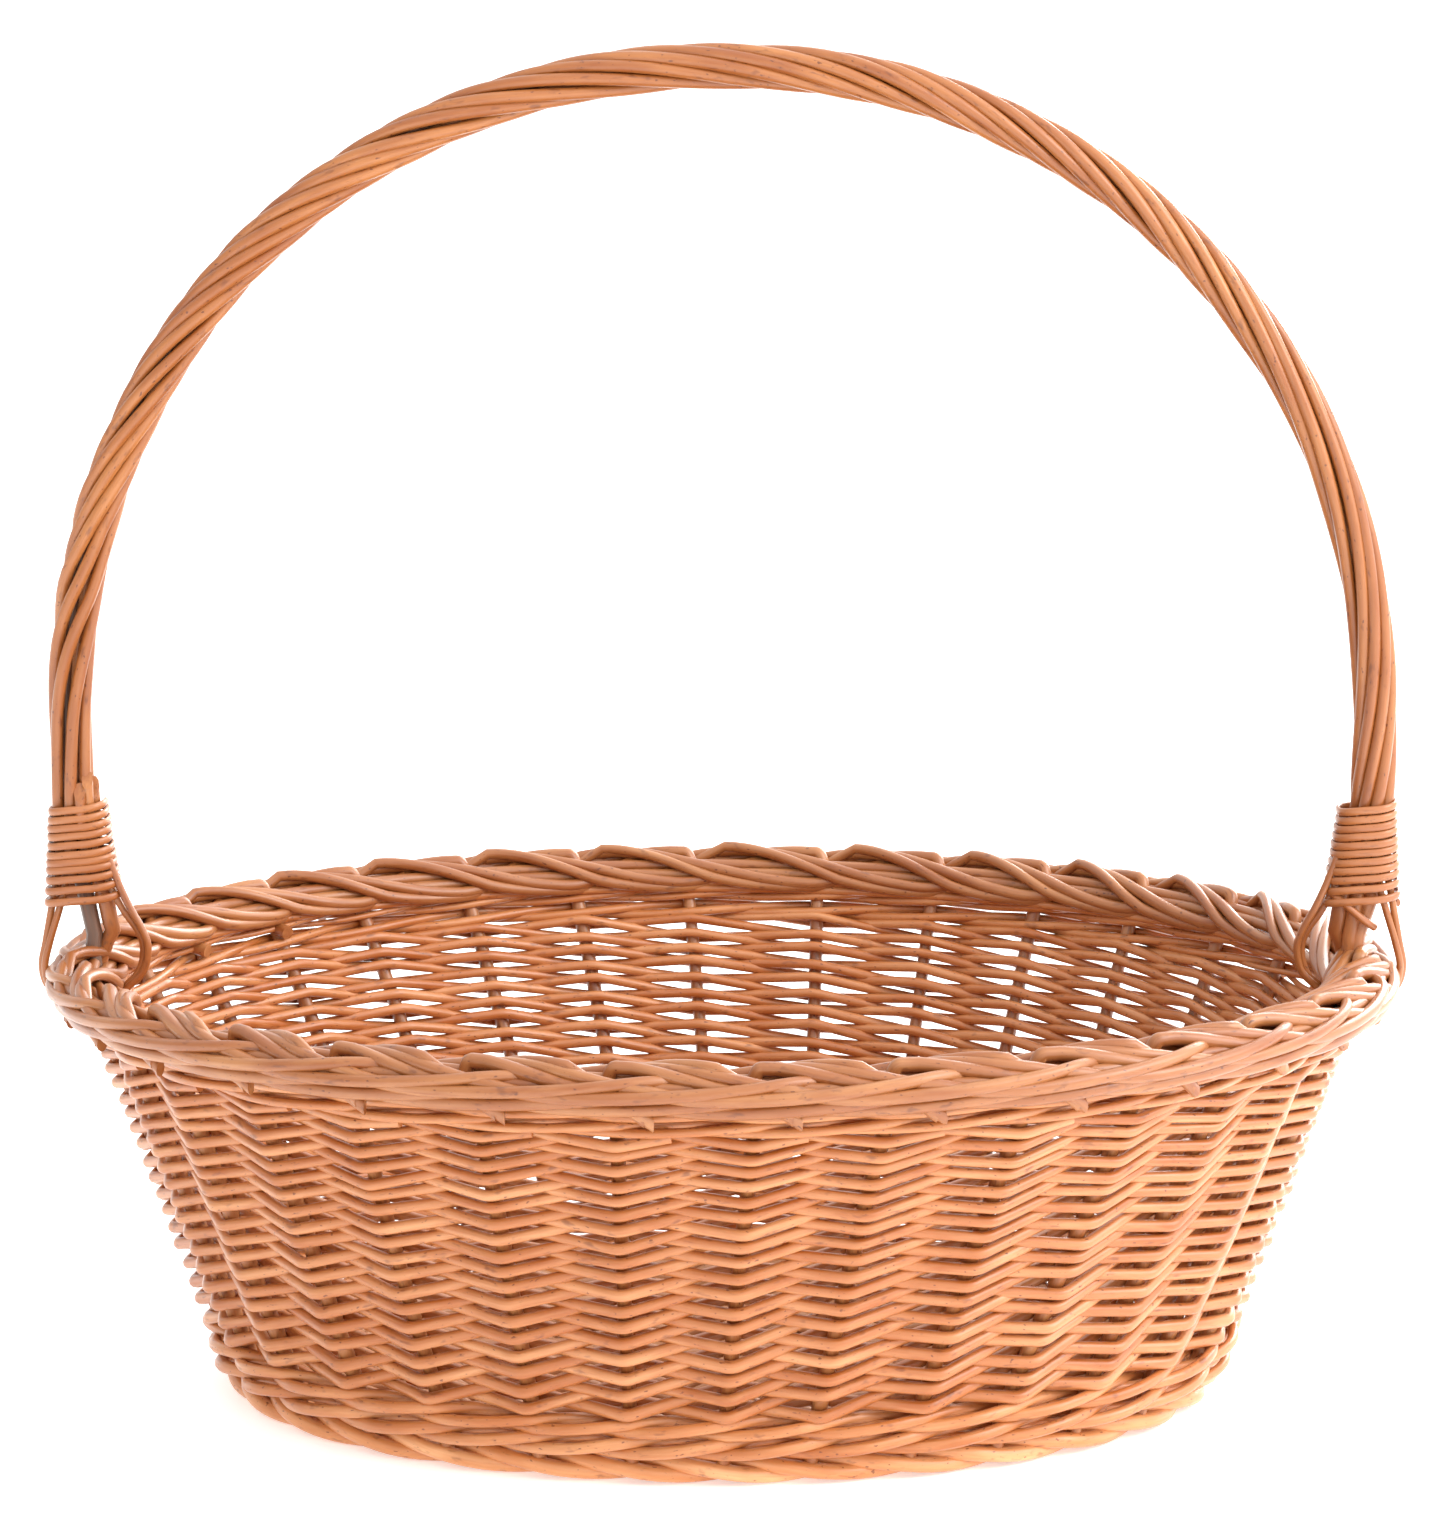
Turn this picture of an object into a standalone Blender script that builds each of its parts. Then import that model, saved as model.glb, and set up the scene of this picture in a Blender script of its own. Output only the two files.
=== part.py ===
"""Oval woven willow market basket with a fixed, roped bow handle.

Every rod, ring of weave and binding is a closed solid of its own.  X runs along the handle's plane,
-Y is the front, +Z is up, and the origin is on the ground under the middle of the foot.
"""
import math

import bmesh
import bpy
from mathutils import Vector

# ---------------------------------------------------------------- driving sizes, in metres
RIM_LENGTH = 0.450            # over the border, along X
RIM_WIDTH = 0.357             # over the border, along Y
RIM_HEIGHT = 0.1505           # ground to the top of the border
FOOT_LENGTH = 0.334           # over the foot border, along X
FOOT_WIDTH = 0.236            # over the foot border, along Y
FOOT_HEIGHT = 0.009

STAKE_COUNT = 30
STAKE_DIAMETER = 0.005
STAKE_TWIST = math.radians(3.0)     # how far a stake leans round the basket from foot to rim
STAKE_PHASE = math.radians(6.0)     # first stake, past the handle leg, at the foot
FOOT_SPREAD = 0.075                 # shifts the feet of the stakes until they stand evenly (radians)

WEAVE_THICKNESS = 0.0034
WEAVE_BANDS = 5
UPSETT_ROUNDS = 3
UPSETT_ROUND_HEIGHT = 0.0038
TOP_WALE_ROUNDS = 2
TOP_WALE_ROUND_HEIGHT = 0.0046

BORDER_DEPTH = 0.0165         # underside of the border to its top
OUTER_ROLL_WIDTH = 0.0063
INNER_ROLL_WIDTH = 0.0056
TIE_DIAMETER = 0.0030

HANDLE_HEIGHT = 0.4465        # ground to the top of the bow
LEG_INSET = 0.0097            # edge of the border to the middle of a leg, where the bow is widest
WIDEST_ABOVE_RIM = 0.0715     # the bow's widest place, above the border
HANDLE_THICKNESS = 0.015
HANDLE_FULLNESS = 2.08        # 2 is an ellipse, more is squarer
CORE_DIAMETER = 0.0046
CORE_TAIL_HEIGHT = 0.0615     # how low the core rods reach inside the wall
ROPING_STRANDS = 3
ROPING_TURNS = 2.5

LASHING_ABOVE_RIM = 0.0175
LASHING_HEIGHT = 0.030
LASHING_TOP_DIAMETER = 0.0205
LASHING_BOTTOM_DIAMETER = 0.025
LASHING_TURNS = 8

BASE_CLEARANCE = 0.0015       # base above the ground
STICK_HEIGHT = 0.0060
CROSS_STICK_WIDTH = 0.0090
CROSS_STICK_SPACING = 0.045
CROSS_STICKS = 3
LONG_STICK_WIDTH = 0.0062
LONG_STICK_HEIGHT = 0.0032
LONG_STICKS = 2
BASE_WEAVE_THICKNESS = 0.0024
BASE_WEAVE_RINGS = 3
BASE_OPEN_MIDDLE = 0.014      # half width left for the sticks in the middle of the base
BASE_OPEN_ENDS = 0.020        # the same past the last cross stick

GAP = 0.0003                  # between pieces that touch
BASE_FIT = 0.0009             # between the base and the many-sided foot border round it

# ---------------------------------------------------------------- sizes that follow
STAKE_RADIUS = STAKE_DIAMETER / 2
PITCH = 2 * math.pi / STAKE_COUNT
FOOT_OUT = 0.0045             # foot border outside the line of the stakes
FOOT_IN = 0.0090              # foot border inside the line of the stakes
FLARE = max(RIM_LENGTH - FOOT_LENGTH, RIM_WIDTH - FOOT_WIDTH) / 2 / (RIM_HEIGHT - FOOT_HEIGHT)
LEAN_STRETCH = math.hypot(1, FLARE)     # a leaning rod is this much thicker when cut level
KINK_ALLOWANCE = 1.08                   # a strand that kinks round a stake passes closer beside it
STEEP_ALLOWANCE = 1.16                  # the same, more, where it crosses the wall steeply
HUG = (STAKE_RADIUS + GAP) * LEAN_STRETCH * KINK_ALLOWANCE

OUTER_TURN = HUG + OUTER_ROLL_WIDTH + GAP + STAKE_RADIUS * LEAN_STRETCH
BORDER_REACH = OUTER_TURN + STAKE_RADIUS
BORDER_BOTTOM = RIM_HEIGHT - BORDER_DEPTH
BORDER_MIDDLE = RIM_HEIGHT - BORDER_DEPTH / 2
RIM_A = RIM_LENGTH / 2 - BORDER_REACH
RIM_B = RIM_WIDTH / 2 - BORDER_REACH
FOOT_A = FOOT_LENGTH / 2 - FOOT_OUT
FOOT_B = FOOT_WIDTH / 2 - FOOT_OUT
TURN_HEIGHT = RIM_HEIGHT - STAKE_RADIUS
OUTER_ROLL_TOP = TURN_HEIGHT - STAKE_RADIUS - GAP

UPSETT_BOTTOM = FOOT_HEIGHT + GAP
TIE_ROOM = TIE_DIAMETER + 4 * GAP
TOP_WALE_TOP = BORDER_BOTTOM - TIE_ROOM
BANDS_BOTTOM = UPSETT_BOTTOM + UPSETT_ROUNDS * (UPSETT_ROUND_HEIGHT + GAP)
BANDS_TOP = TOP_WALE_TOP - TOP_WALE_ROUNDS * (TOP_WALE_ROUND_HEIGHT + GAP)

CORE_OFFSET = (CORE_DIAMETER + GAP) / 2
CORE_REACH = CORE_OFFSET + CORE_DIAMETER / 2
LASHING_BOTTOM = RIM_HEIGHT + LASHING_ABOVE_RIM
HANDLE_WIDEST_AT = RIM_HEIGHT + WIDEST_ABOVE_RIM
HANDLE_A = RIM_LENGTH / 2 - LEG_INSET
HANDLE_C = HANDLE_HEIGHT - HANDLE_THICKNESS / 2 - HANDLE_WIDEST_AT

BASE_HALF_THICKNESS = STICK_HEIGHT / 2 + GAP + BASE_WEAVE_THICKNESS
BASE_MIDDLE = BASE_CLEARANCE + BASE_HALF_THICKNESS
BASE_A = FOOT_A - FOOT_IN - BASE_FIT
BASE_B = FOOT_B - FOOT_IN - BASE_FIT
LAST_CROSS_STICK = (CROSS_STICKS - 1) / 2 * CROSS_STICK_SPACING
LONG_STICKS_REACH = LONG_STICKS * (LONG_STICK_WIDTH + GAP) / 2


# ---------------------------------------------------------------- materials
def willow(name, colour, roughness):
    material = bpy.data.materials.new(name)
    material.use_nodes = True
    shader = material.node_tree.nodes["Principled BSDF"]
    shader.inputs["Base Color"].default_value = (*colour, 1.0)
    shader.inputs["Roughness"].default_value = roughness
    shader.inputs["Metallic"].default_value = 0.0
    return material


def make_materials():
    return {
        "stakes": willow("stake_willow", (0.60, 0.36, 0.16), 0.50),
        "weave": willow("weave_willow", (0.66, 0.42, 0.20), 0.50),
        "wale": willow("wale_willow", (0.58, 0.34, 0.15), 0.50),
        "border": willow("border_willow", (0.56, 0.32, 0.13), 0.45),
        "core": willow("handle_core_willow", (0.40, 0.28, 0.17), 0.60),
        "roping": willow("roping_willow", (0.60, 0.37, 0.17), 0.45),
        "lashing": willow("lashing_cane", (0.70, 0.47, 0.24), 0.40),
        "base": willow("base_willow", (0.52, 0.32, 0.15), 0.60),
    }


# ---------------------------------------------------------------- making solids
def add_object(name, data, material):
    data.materials.append(material)
    item = bpy.data.objects.new(name, data)
    bpy.context.scene.collection.objects.link(item)
    return item


def lofted(name, sections, material, closed):
    """A closed solid through equal outlines; a closed one comes back to its first outline."""
    bm = bmesh.new()
    loops = []
    for outline in sections:
        corners = [bm.verts.new(point) for point in outline]
        loops.append([bm.edges.new((corners[i - 1], corners[i])) for i in range(len(corners))])
    pairs = list(zip(loops, loops[1:]))
    if closed:
        pairs.append((loops[-1], loops[0]))
    for first, second in pairs:
        bmesh.ops.bridge_loops(bm, edges=first + second)
    if not closed:
        bmesh.ops.edgeloop_fill(bm, edges=loops[0])
        bmesh.ops.edgeloop_fill(bm, edges=loops[-1])
    bmesh.ops.recalc_face_normals(bm, faces=bm.faces)
    mesh = bpy.data.meshes.new(name)
    bm.to_mesh(mesh)
    bm.free()
    mesh.shade_smooth()
    mesh.set_sharp_from_angle(angle=math.radians(40))
    return add_object(name, mesh, material)


def rod(name, points, diameter, material, roundness=1):
    """A round rod through the points, with flat cut ends."""
    curve = bpy.data.curves.new(name, "CURVE")
    curve.dimensions = "3D"
    curve.bevel_depth = diameter / 2
    curve.bevel_resolution = roundness
    curve.use_fill_caps = True
    spline = curve.splines.new("POLY")
    spline.points.add(len(points) - 1)
    for knot, point in zip(spline.points, points):
        knot.co = (*point, 1.0)
        knot.radius = 1.0
    spline.use_smooth = True
    return add_object(name, curve, material)


def smooth_step(x):
    x = min(max(x, 0.0), 1.0)
    return x * x * (3 - 2 * x)


# ---------------------------------------------------------------- the flared oval of the wall
def rise(height):
    """0 over the depth of the foot and 1 at the middle of the border."""
    return max(height - FOOT_HEIGHT, 0.0) / (BORDER_MIDDLE - FOOT_HEIGHT)


def wall_axes(height):
    share = rise(height)
    return FOOT_A + (RIM_A - FOOT_A) * share, FOOT_B + (RIM_B - FOOT_B) * share


def oval_point(angle, a, b, height, out=0.0):
    """A point on an oval, moved outwards and level by 'out'."""
    normal = Vector((b * math.cos(angle), a * math.sin(angle), 0.0)).normalized()
    return Vector((a * math.cos(angle), b * math.sin(angle), height)) + normal * out


def wall_point(angle, height, out=0.0):
    a, b = wall_axes(height)
    return oval_point(angle, a, b, height, out)


def stake_angle(index, height):
    """Where a stake stands: evenly by angle at the rim, evenly along the edge at the foot."""
    share = min(rise(height), 1.0)
    angle = STAKE_PHASE + PITCH * index
    return angle + FOOT_SPREAD * math.sin(2 * angle) * (1 - share) + STAKE_TWIST * share


def leg_side(index):
    """The angle of the handle leg that a stake stands just before, or None."""
    if index % STAKE_COUNT == STAKE_COUNT - 1:
        return 2 * math.pi
    if index % STAKE_COUNT == STAKE_COUNT // 2 - 1:
        return math.pi
    return None


def kinks(height, round_legs):
    """(stake index, angle, room) of every place where a strand kinks, once round the basket.

    A strand passes the stake before a handle leg and the leg's core rods on one side, and then
    crosses the wall steeply, so it needs more room at the stake after the leg.
    """
    places = []
    for index in range(STAKE_COUNT):
        after_leg = round_legs and leg_side(index - 1) is not None
        places.append((index, stake_angle(index, height), STEEP_ALLOWANCE if after_leg else 1.0))
        leg = leg_side(index)
        if round_legs and leg is not None:
            places.append((index, leg + (CORE_REACH + GAP) / wall_axes(height)[1], 1.0))
    return places


def woven_ring(name, bottom, top, pattern, material):
    """A ring of weave: 'pattern' holds 1 outside and -1 inside, stake after stake."""
    round_legs = top > CORE_TAIL_HEIGHT
    sections = []
    for (index, low_angle, room), (_, high_angle, _) in zip(kinks(bottom, round_legs),
                                                            kinks(top, round_legs)):
        side = pattern[index % len(pattern)]
        near, far = side * HUG * room, side * (HUG * room + WEAVE_THICKNESS)
        sections.append([
            wall_point(low_angle, bottom, near), wall_point(low_angle, bottom, far),
            wall_point(high_angle, top, far), wall_point(high_angle, top, near)])
    return lofted(name, sections, material, closed=True)


# ---------------------------------------------------------------- the wall
def make_stakes(material):
    heel = UPSETT_BOTTOM + STAKE_RADIUS * FLARE      # the square-cut foot of a leaning rod
    levels = [heel + (BORDER_BOTTOM - heel) * step / 3 for step in range(4)]
    for index in range(STAKE_COUNT):
        straight = [wall_point(stake_angle(index, z), z) for z in levels]
        if leg_side(index) is None:
            points = straight + turned_down_end(index)
        else:
            points = straight + [wall_point(stake_angle(index, TURN_HEIGHT), TURN_HEIGHT)]
        rod(f"side_stake_{index + 1:02d}", points, STAKE_DIAMETER, material)


def turned_down_end(index):
    """The part of a stake that lies over the outer roll and comes down outside it."""
    start = stake_angle(index, TURN_HEIGHT)
    points = [wall_point(start, OUTER_ROLL_TOP, 0.0)]
    steps = 8
    for step in range(1, steps + 1):
        share = step / steps
        out = OUTER_TURN * smooth_step(share)
        drop = (BORDER_DEPTH / 2 - STAKE_RADIUS) * smooth_step((share - 0.55) / 0.45)
        points.append(wall_point(start + 2 * PITCH * share, TURN_HEIGHT - drop, out))
    return points


def make_wall_weave(material):
    step = (BANDS_TOP - BANDS_BOTTOM) / WEAVE_BANDS
    for band in range(WEAVE_BANDS):
        bottom = BANDS_BOTTOM + band * step
        pattern = (1, -1) if band % 2 == 0 else (-1, 1)
        woven_ring(f"wall_weave_{band + 1}", bottom, bottom + step - GAP, pattern, material)


def make_wales(material):
    """Rounds that pass in front of two stakes and behind one."""
    for count, first, height, name in (
            (UPSETT_ROUNDS, UPSETT_BOTTOM, UPSETT_ROUND_HEIGHT, "upsett_wale"),
            (TOP_WALE_ROUNDS, BANDS_TOP, TOP_WALE_ROUND_HEIGHT, "top_wale")):
        for turn in range(count):
            bottom = first + turn * (height + GAP)
            pattern = [1, 1, -1][turn % 3:] + [1, 1, -1][:turn % 3]
            woven_ring(f"{name}_{turn + 1}", bottom, bottom + height, pattern, material)


def plain_ring(name, outline, material, stations):
    """A ring with one outline, given as (out, height) pairs, all round the wall."""
    sections = [[wall_point(2 * math.pi * i / stations, z, out) for out, z in outline]
                for i in range(stations)]
    return lofted(name, sections, material, closed=True)


def make_border(material):
    bevel = 0.0022
    low, high = BORDER_BOTTOM, OUTER_ROLL_TOP
    near, far = HUG, HUG + OUTER_ROLL_WIDTH
    plain_ring("border_outer_roll", [
        (near, low), (far - bevel, low), (far, low + bevel),
        (far, high - bevel), (far - bevel, high), (near, high)], material, 2 * STAKE_COUNT)
    near, far = -HUG, -HUG - INNER_ROLL_WIDTH
    high = RIM_HEIGHT - GAP
    plain_ring("border_inner_roll", [
        (near, low), (far + bevel, low), (far, low + bevel),
        (far, high - bevel), (far + bevel, high), (near, high)], material, 2 * STAKE_COUNT)


def make_foot(material):
    bevel = 0.0025
    plain_ring("foot_border", [
        (-FOOT_IN, bevel), (bevel - FOOT_IN, 0.0), (FOOT_OUT - bevel, 0.0), (FOOT_OUT, bevel),
        (FOOT_OUT, FOOT_HEIGHT), (-FOOT_IN, FOOT_HEIGHT)], material, 2 * STAKE_COUNT)


# ---------------------------------------------------------------- the base
def base_axes(share):
    """Half axes of an oval of the base: 0 is its edge and 1 its open middle."""
    open_a = LAST_CROSS_STICK + CROSS_STICK_WIDTH / 2 + BASE_OPEN_ENDS
    return BASE_A + (open_a - BASE_A) * share, BASE_B + (BASE_OPEN_MIDDLE - BASE_B) * share


def base_crossings(a, b):
    """(first angle, last angle, height of the stick) wherever an oval of the base meets a stick."""
    half_pair = math.asin((LONG_STICKS_REACH + GAP) / b)
    crossings = [(-half_pair, half_pair, LONG_STICK_HEIGHT)]
    reach = CROSS_STICK_WIDTH / 2 + 2 * GAP
    for number in reversed(range(CROSS_STICKS)):
        x = number * CROSS_STICK_SPACING - LAST_CROSS_STICK
        crossings.append((math.acos((x + reach) / a), math.acos((x - reach) / a), STICK_HEIGHT))
    return crossings + [(low + math.pi, high + math.pi, tall) for low, high, tall in crossings]


def base_strand(axes, side):
    """(angle, level) all round an oval of the base, over one stick and under the next."""
    free_steps = 4
    crossings = base_crossings(*axes)
    stations = []
    for place, (low, high, tall) in enumerate(crossings):
        level = side * (tall / 2 + GAP + BASE_WEAVE_THICKNESS / 2)
        next_low, _, next_tall = crossings[(place + 1) % len(crossings)]
        next_low += 2 * math.pi if next_low < high else 0.0
        next_level = -side * (next_tall / 2 + GAP + BASE_WEAVE_THICKNESS / 2)
        stations.append((low, level))
        for step in range(free_steps):
            share = step / free_steps
            stations.append((high + (next_low - high) * share, level + (next_level - level) * share))
        side = -side
    return stations


def make_base_weave(material):
    """Flat rings that pass over one stick and under the next."""
    half = Vector((0.0, 0.0, BASE_WEAVE_THICKNESS / 2))
    for ring in range(BASE_WEAVE_RINGS):
        outer = base_axes(ring / BASE_WEAVE_RINGS)
        inner = base_axes((ring + 1) / BASE_WEAVE_RINGS)
        inner = (inner[0] + GAP, inner[1] + GAP)
        side = 1 if ring % 2 == 0 else -1
        sections = []
        for outside, inside in zip(base_strand(outer, side), base_strand(inner, side)):
            far = oval_point(outside[0], *outer, BASE_MIDDLE + outside[1])
            near = oval_point(inside[0], *inner, BASE_MIDDLE + inside[1])
            sections.append([near - half, far - half, far + half, near + half])
        lofted(f"base_weave_{ring + 1}", sections, material, closed=True)


def block(name, size, centre, material):
    bm = bmesh.new()
    bmesh.ops.create_cube(bm, size=1.0)
    bmesh.ops.scale(bm, vec=size, verts=bm.verts)
    mesh = bpy.data.meshes.new(name)
    bm.to_mesh(mesh)
    bm.free()
    item = add_object(name, mesh, material)
    item.location = centre
    return item


def make_base_sticks(material):
    """Cross sticks are pierced in the middle, and the long sticks run through the slits."""
    pitch = LONG_STICK_WIDTH + GAP
    for number in range(LONG_STICKS):
        y = number * pitch - (LONG_STICKS - 1) / 2 * pitch
        far_side = abs(y) + LONG_STICK_WIDTH / 2
        reach = BASE_A * math.sqrt(1 - (far_side / BASE_B) ** 2) - GAP
        block(f"base_long_stick_{number + 1}", (2 * reach, LONG_STICK_WIDTH, LONG_STICK_HEIGHT),
              (0.0, y, BASE_MIDDLE), material)
    slit = (2 * CROSS_STICK_WIDTH, 2 * LONG_STICKS_REACH + GAP, LONG_STICK_HEIGHT + 2 * GAP)
    for number in range(CROSS_STICKS):
        x = number * CROSS_STICK_SPACING - LAST_CROSS_STICK
        far_side = abs(x) + CROSS_STICK_WIDTH / 2
        reach = BASE_B * math.sqrt(1 - (far_side / BASE_A) ** 2) - GAP
        stick = block(f"base_cross_stick_{number + 1}", (CROSS_STICK_WIDTH, 2 * reach, STICK_HEIGHT),
                      (x, 0.0, BASE_MIDDLE), material)
        cutter = block(f"slit_{number + 1}", slit, (x, 0.0, BASE_MIDDLE), material)
        cutter.hide_render = True
        cutter.display_type = "WIRE"
        cut = stick.modifiers.new("slit", "BOOLEAN")
        cut.operation = "DIFFERENCE"
        cut.solver = "EXACT"
        cut.object = cutter


# ---------------------------------------------------------------- the handle
def leg_x(height):
    """Half the distance between the legs, below the widest place of the bow."""
    if height <= RIM_HEIGHT:
        return wall_axes(height)[0]
    drawn_in = HANDLE_A - wall_axes(RIM_HEIGHT)[0]
    share = (HANDLE_WIDEST_AT - height) / (HANDLE_WIDEST_AT - RIM_HEIGHT)
    return HANDLE_A - drawn_in * share ** 2


def bow_line(lowest, leg_steps):
    """Points of the handle's middle line, from the left leg over the top to the right leg."""
    bow_steps = 20
    left = []
    for step in range(leg_steps):
        height = lowest + (HANDLE_WIDEST_AT - lowest) * step / leg_steps
        left.append(Vector((-leg_x(height), 0.0, height)))
    for step in range(bow_steps):
        turn = math.pi / 2 * step / bow_steps
        left.append(Vector((-HANDLE_A * math.cos(turn) ** (2 / HANDLE_FULLNESS), 0.0,
                            HANDLE_WIDEST_AT + HANDLE_C * math.sin(turn) ** (2 / HANDLE_FULLNESS))))
    right = [Vector((-point.x, 0.0, point.z)) for point in reversed(left)]
    return left + [Vector((0.0, 0.0, HANDLE_WIDEST_AT + HANDLE_C))] + right


def with_frames(points):
    """(point, sideways direction in the bow's plane) for each point of a line."""
    framed = []
    for index, point in enumerate(points):
        ahead = points[min(index + 1, len(points) - 1)]
        behind = points[max(index - 1, 0)]
        along = (ahead - behind).normalized()
        framed.append((point, along.cross(Vector((0.0, 1.0, 0.0)))))
    return framed


def round_point(point, sideways, radius, turn):
    return point + (sideways * math.cos(turn) + Vector((0.0, 1.0, 0.0)) * math.sin(turn)) * radius


def make_handle_core(material):
    """Two rods side by side that go down through the border beside the stakes."""
    line = bow_line(CORE_TAIL_HEIGHT, 14)
    for number, y in enumerate((-CORE_OFFSET, CORE_OFFSET)):
        path = [point + Vector((0.0, y, 0.0)) for point in line]
        rod(f"handle_core_{number + 1}", path, CORE_DIAMETER, material)


def make_roping(material):
    """Strands that wind slowly round the core and share its surface between them."""
    corners = 4
    half_share = math.pi / ROPING_STRANDS
    slack = half_share - GAP / CORE_REACH
    corner_step = 2 * slack / (corners - 1)
    outer = HANDLE_THICKNESS / 2
    line = with_frames(bow_line(LASHING_BOTTOM + 2 * GAP, 4))
    turn_step = 2 * math.pi * ROPING_TURNS / (len(line) - 1)
    inner = (CORE_REACH + GAP) / math.cos((corner_step + turn_step) / 2)
    for strand in range(ROPING_STRANDS):
        sections = []
        for step, (point, sideways) in enumerate(line):
            turn = step * turn_step + 2 * half_share * strand
            turns = [turn - slack + corner_step * corner for corner in range(corners)]
            sections.append([round_point(point, sideways, outer, angle) for angle in turns]
                            + [round_point(point, sideways, inner, angle) for angle in reversed(turns)])
        lofted(f"handle_roping_{strand + 1}", sections, material, closed=False)


def make_lashings(material):
    """Split cane wound tightly round each foot of the handle, as a ridged sleeve."""
    facets = 12
    ridge = 0.0012
    hole = (HANDLE_THICKNESS / 2 + GAP) / math.cos(math.pi / facets)
    steps = 2 * LASHING_TURNS
    for side, name in ((-1, "left"), (1, "right")):
        heights = [LASHING_BOTTOM + LASHING_HEIGHT * step / steps for step in range(steps + 1)]
        line = with_frames([Vector((side * leg_x(height), 0.0, height)) for height in heights])
        sections = []
        for facet in range(facets):
            turn = 2 * math.pi * facet / facets
            outline = []
            for step, (point, sideways) in enumerate(line):
                share = step / steps
                radius = (LASHING_BOTTOM_DIAMETER * (1 - share) + LASHING_TOP_DIAMETER * share) / 2
                outline.append(round_point(point, sideways, radius - ridge * (1 - step % 2), turn))
            for point, sideways in (line[-1], line[steps // 2], line[0]):
                outline.append(round_point(point, sideways, hole, turn))
            sections.append(outline)
        lofted(f"handle_lashing_{name}", sections, material, closed=True)


def make_ties(material):
    """A rod at each foot that leaves the lashing, passes under the border and comes back up inside."""
    radius = TIE_DIAMETER / 2
    beside = CORE_REACH + radius + 2 * GAP
    spread = LASHING_BOTTOM_DIAMETER / 2 - radius - GAP
    top = LASHING_BOTTOM - 2 * GAP
    under = BORDER_BOTTOM - TIE_ROOM / 2
    outside = wall_axes(BORDER_MIDDLE)[0] + BORDER_REACH + GAP + radius

    def inside(height):
        return wall_axes(height)[0] - HUG - INNER_ROLL_WIDTH - 2 * GAP - radius

    path = [
        (leg_x(top) + spread, beside, top),
        (outside, beside, RIM_HEIGHT - radius),
        (outside, beside, BORDER_BOTTOM + radius),
        (outside - radius, beside, under + radius / 2),
        (outside - 3 * radius, beside, under),
        (inside(under) + 2 * radius, beside, under),
        (inside(under), beside, under + radius),
        (inside(RIM_HEIGHT), beside, RIM_HEIGHT),
        (leg_x(top) - spread, beside, top)]
    for side, name in ((-1, "left"), (1, "right")):
        rod(f"border_tie_{name}", [(side * x, side * y, z) for x, y, z in path],
            TIE_DIAMETER, material)


# ---------------------------------------------------------------- the basket
def main():
    for item in list(bpy.data.objects):
        bpy.data.objects.remove(item, do_unlink=True)
    materials = make_materials()
    make_stakes(materials["stakes"])
    make_wall_weave(materials["weave"])
    make_wales(materials["wale"])
    make_border(materials["border"])
    make_foot(materials["border"])
    make_base_weave(materials["base"])
    make_base_sticks(materials["base"])
    make_handle_core(materials["core"])
    make_roping(materials["roping"])
    make_lashings(materials["lashing"])
    make_ties(materials["roping"])


main()
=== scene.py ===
"""An oval willow market basket with a roped bow handle, standing on a pale studio floor.

Every rod is laid as it is woven: stakes, randed and waled wall, plaited border and foot, pierced base,
roped and lashed handle. All lengths are metres and +Z is up.
"""
import math

import bpy
import numpy as np
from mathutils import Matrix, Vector


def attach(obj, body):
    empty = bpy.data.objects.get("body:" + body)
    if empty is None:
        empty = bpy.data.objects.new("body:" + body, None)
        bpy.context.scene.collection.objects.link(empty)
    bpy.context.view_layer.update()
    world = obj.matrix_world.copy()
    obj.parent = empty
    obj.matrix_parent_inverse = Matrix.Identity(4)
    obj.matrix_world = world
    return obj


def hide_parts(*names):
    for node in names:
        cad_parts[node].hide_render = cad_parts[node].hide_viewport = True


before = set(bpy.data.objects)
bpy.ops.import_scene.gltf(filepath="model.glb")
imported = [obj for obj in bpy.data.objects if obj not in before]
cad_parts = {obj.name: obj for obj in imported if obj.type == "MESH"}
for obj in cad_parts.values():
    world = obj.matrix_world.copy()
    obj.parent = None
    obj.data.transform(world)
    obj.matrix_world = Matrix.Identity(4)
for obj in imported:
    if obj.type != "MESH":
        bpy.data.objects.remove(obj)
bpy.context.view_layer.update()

# ---------------------------------------------------------------- sizes shared with the part
RIM_LENGTH, RIM_WIDTH, RIM_HEIGHT = 0.450, 0.357, 0.1505
FOOT_LENGTH, FOOT_WIDTH, FOOT_HEIGHT = 0.334, 0.236, 0.009
BORDER_REACH = 0.0151              # border outside the line of the stakes
STAKE_BOTTOM, STAKE_TOP = 0.004, 0.134
BORDER_MIDDLE = 0.14225
FOOT_OUT = 0.0045                  # foot border outside the line of the stakes
STAKE_COUNT = 30
STAKE_RADIUS = 0.0025
STAKE_TWIST = math.radians(3.0)
STAKE_PHASE = math.radians(6.0)
FOOT_SPREAD = 0.075
HANDLE_HEIGHT = 0.4465
HANDLE_A = 0.2153                  # middle of the bow to the middle of a leg
HANDLE_WIDEST_AT = 0.222
HANDLE_THICKNESS = 0.015
HANDLE_FULLNESS = 2.08             # 2 is an ellipse, and more is squarer
CORE_TAIL_HEIGHT = 0.0615
LASHING_BOTTOM, LASHING_TOP = 0.168, 0.198
BASE_A, BASE_B, BASE_MIDDLE = 0.152, 0.103, 0.0072

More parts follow.
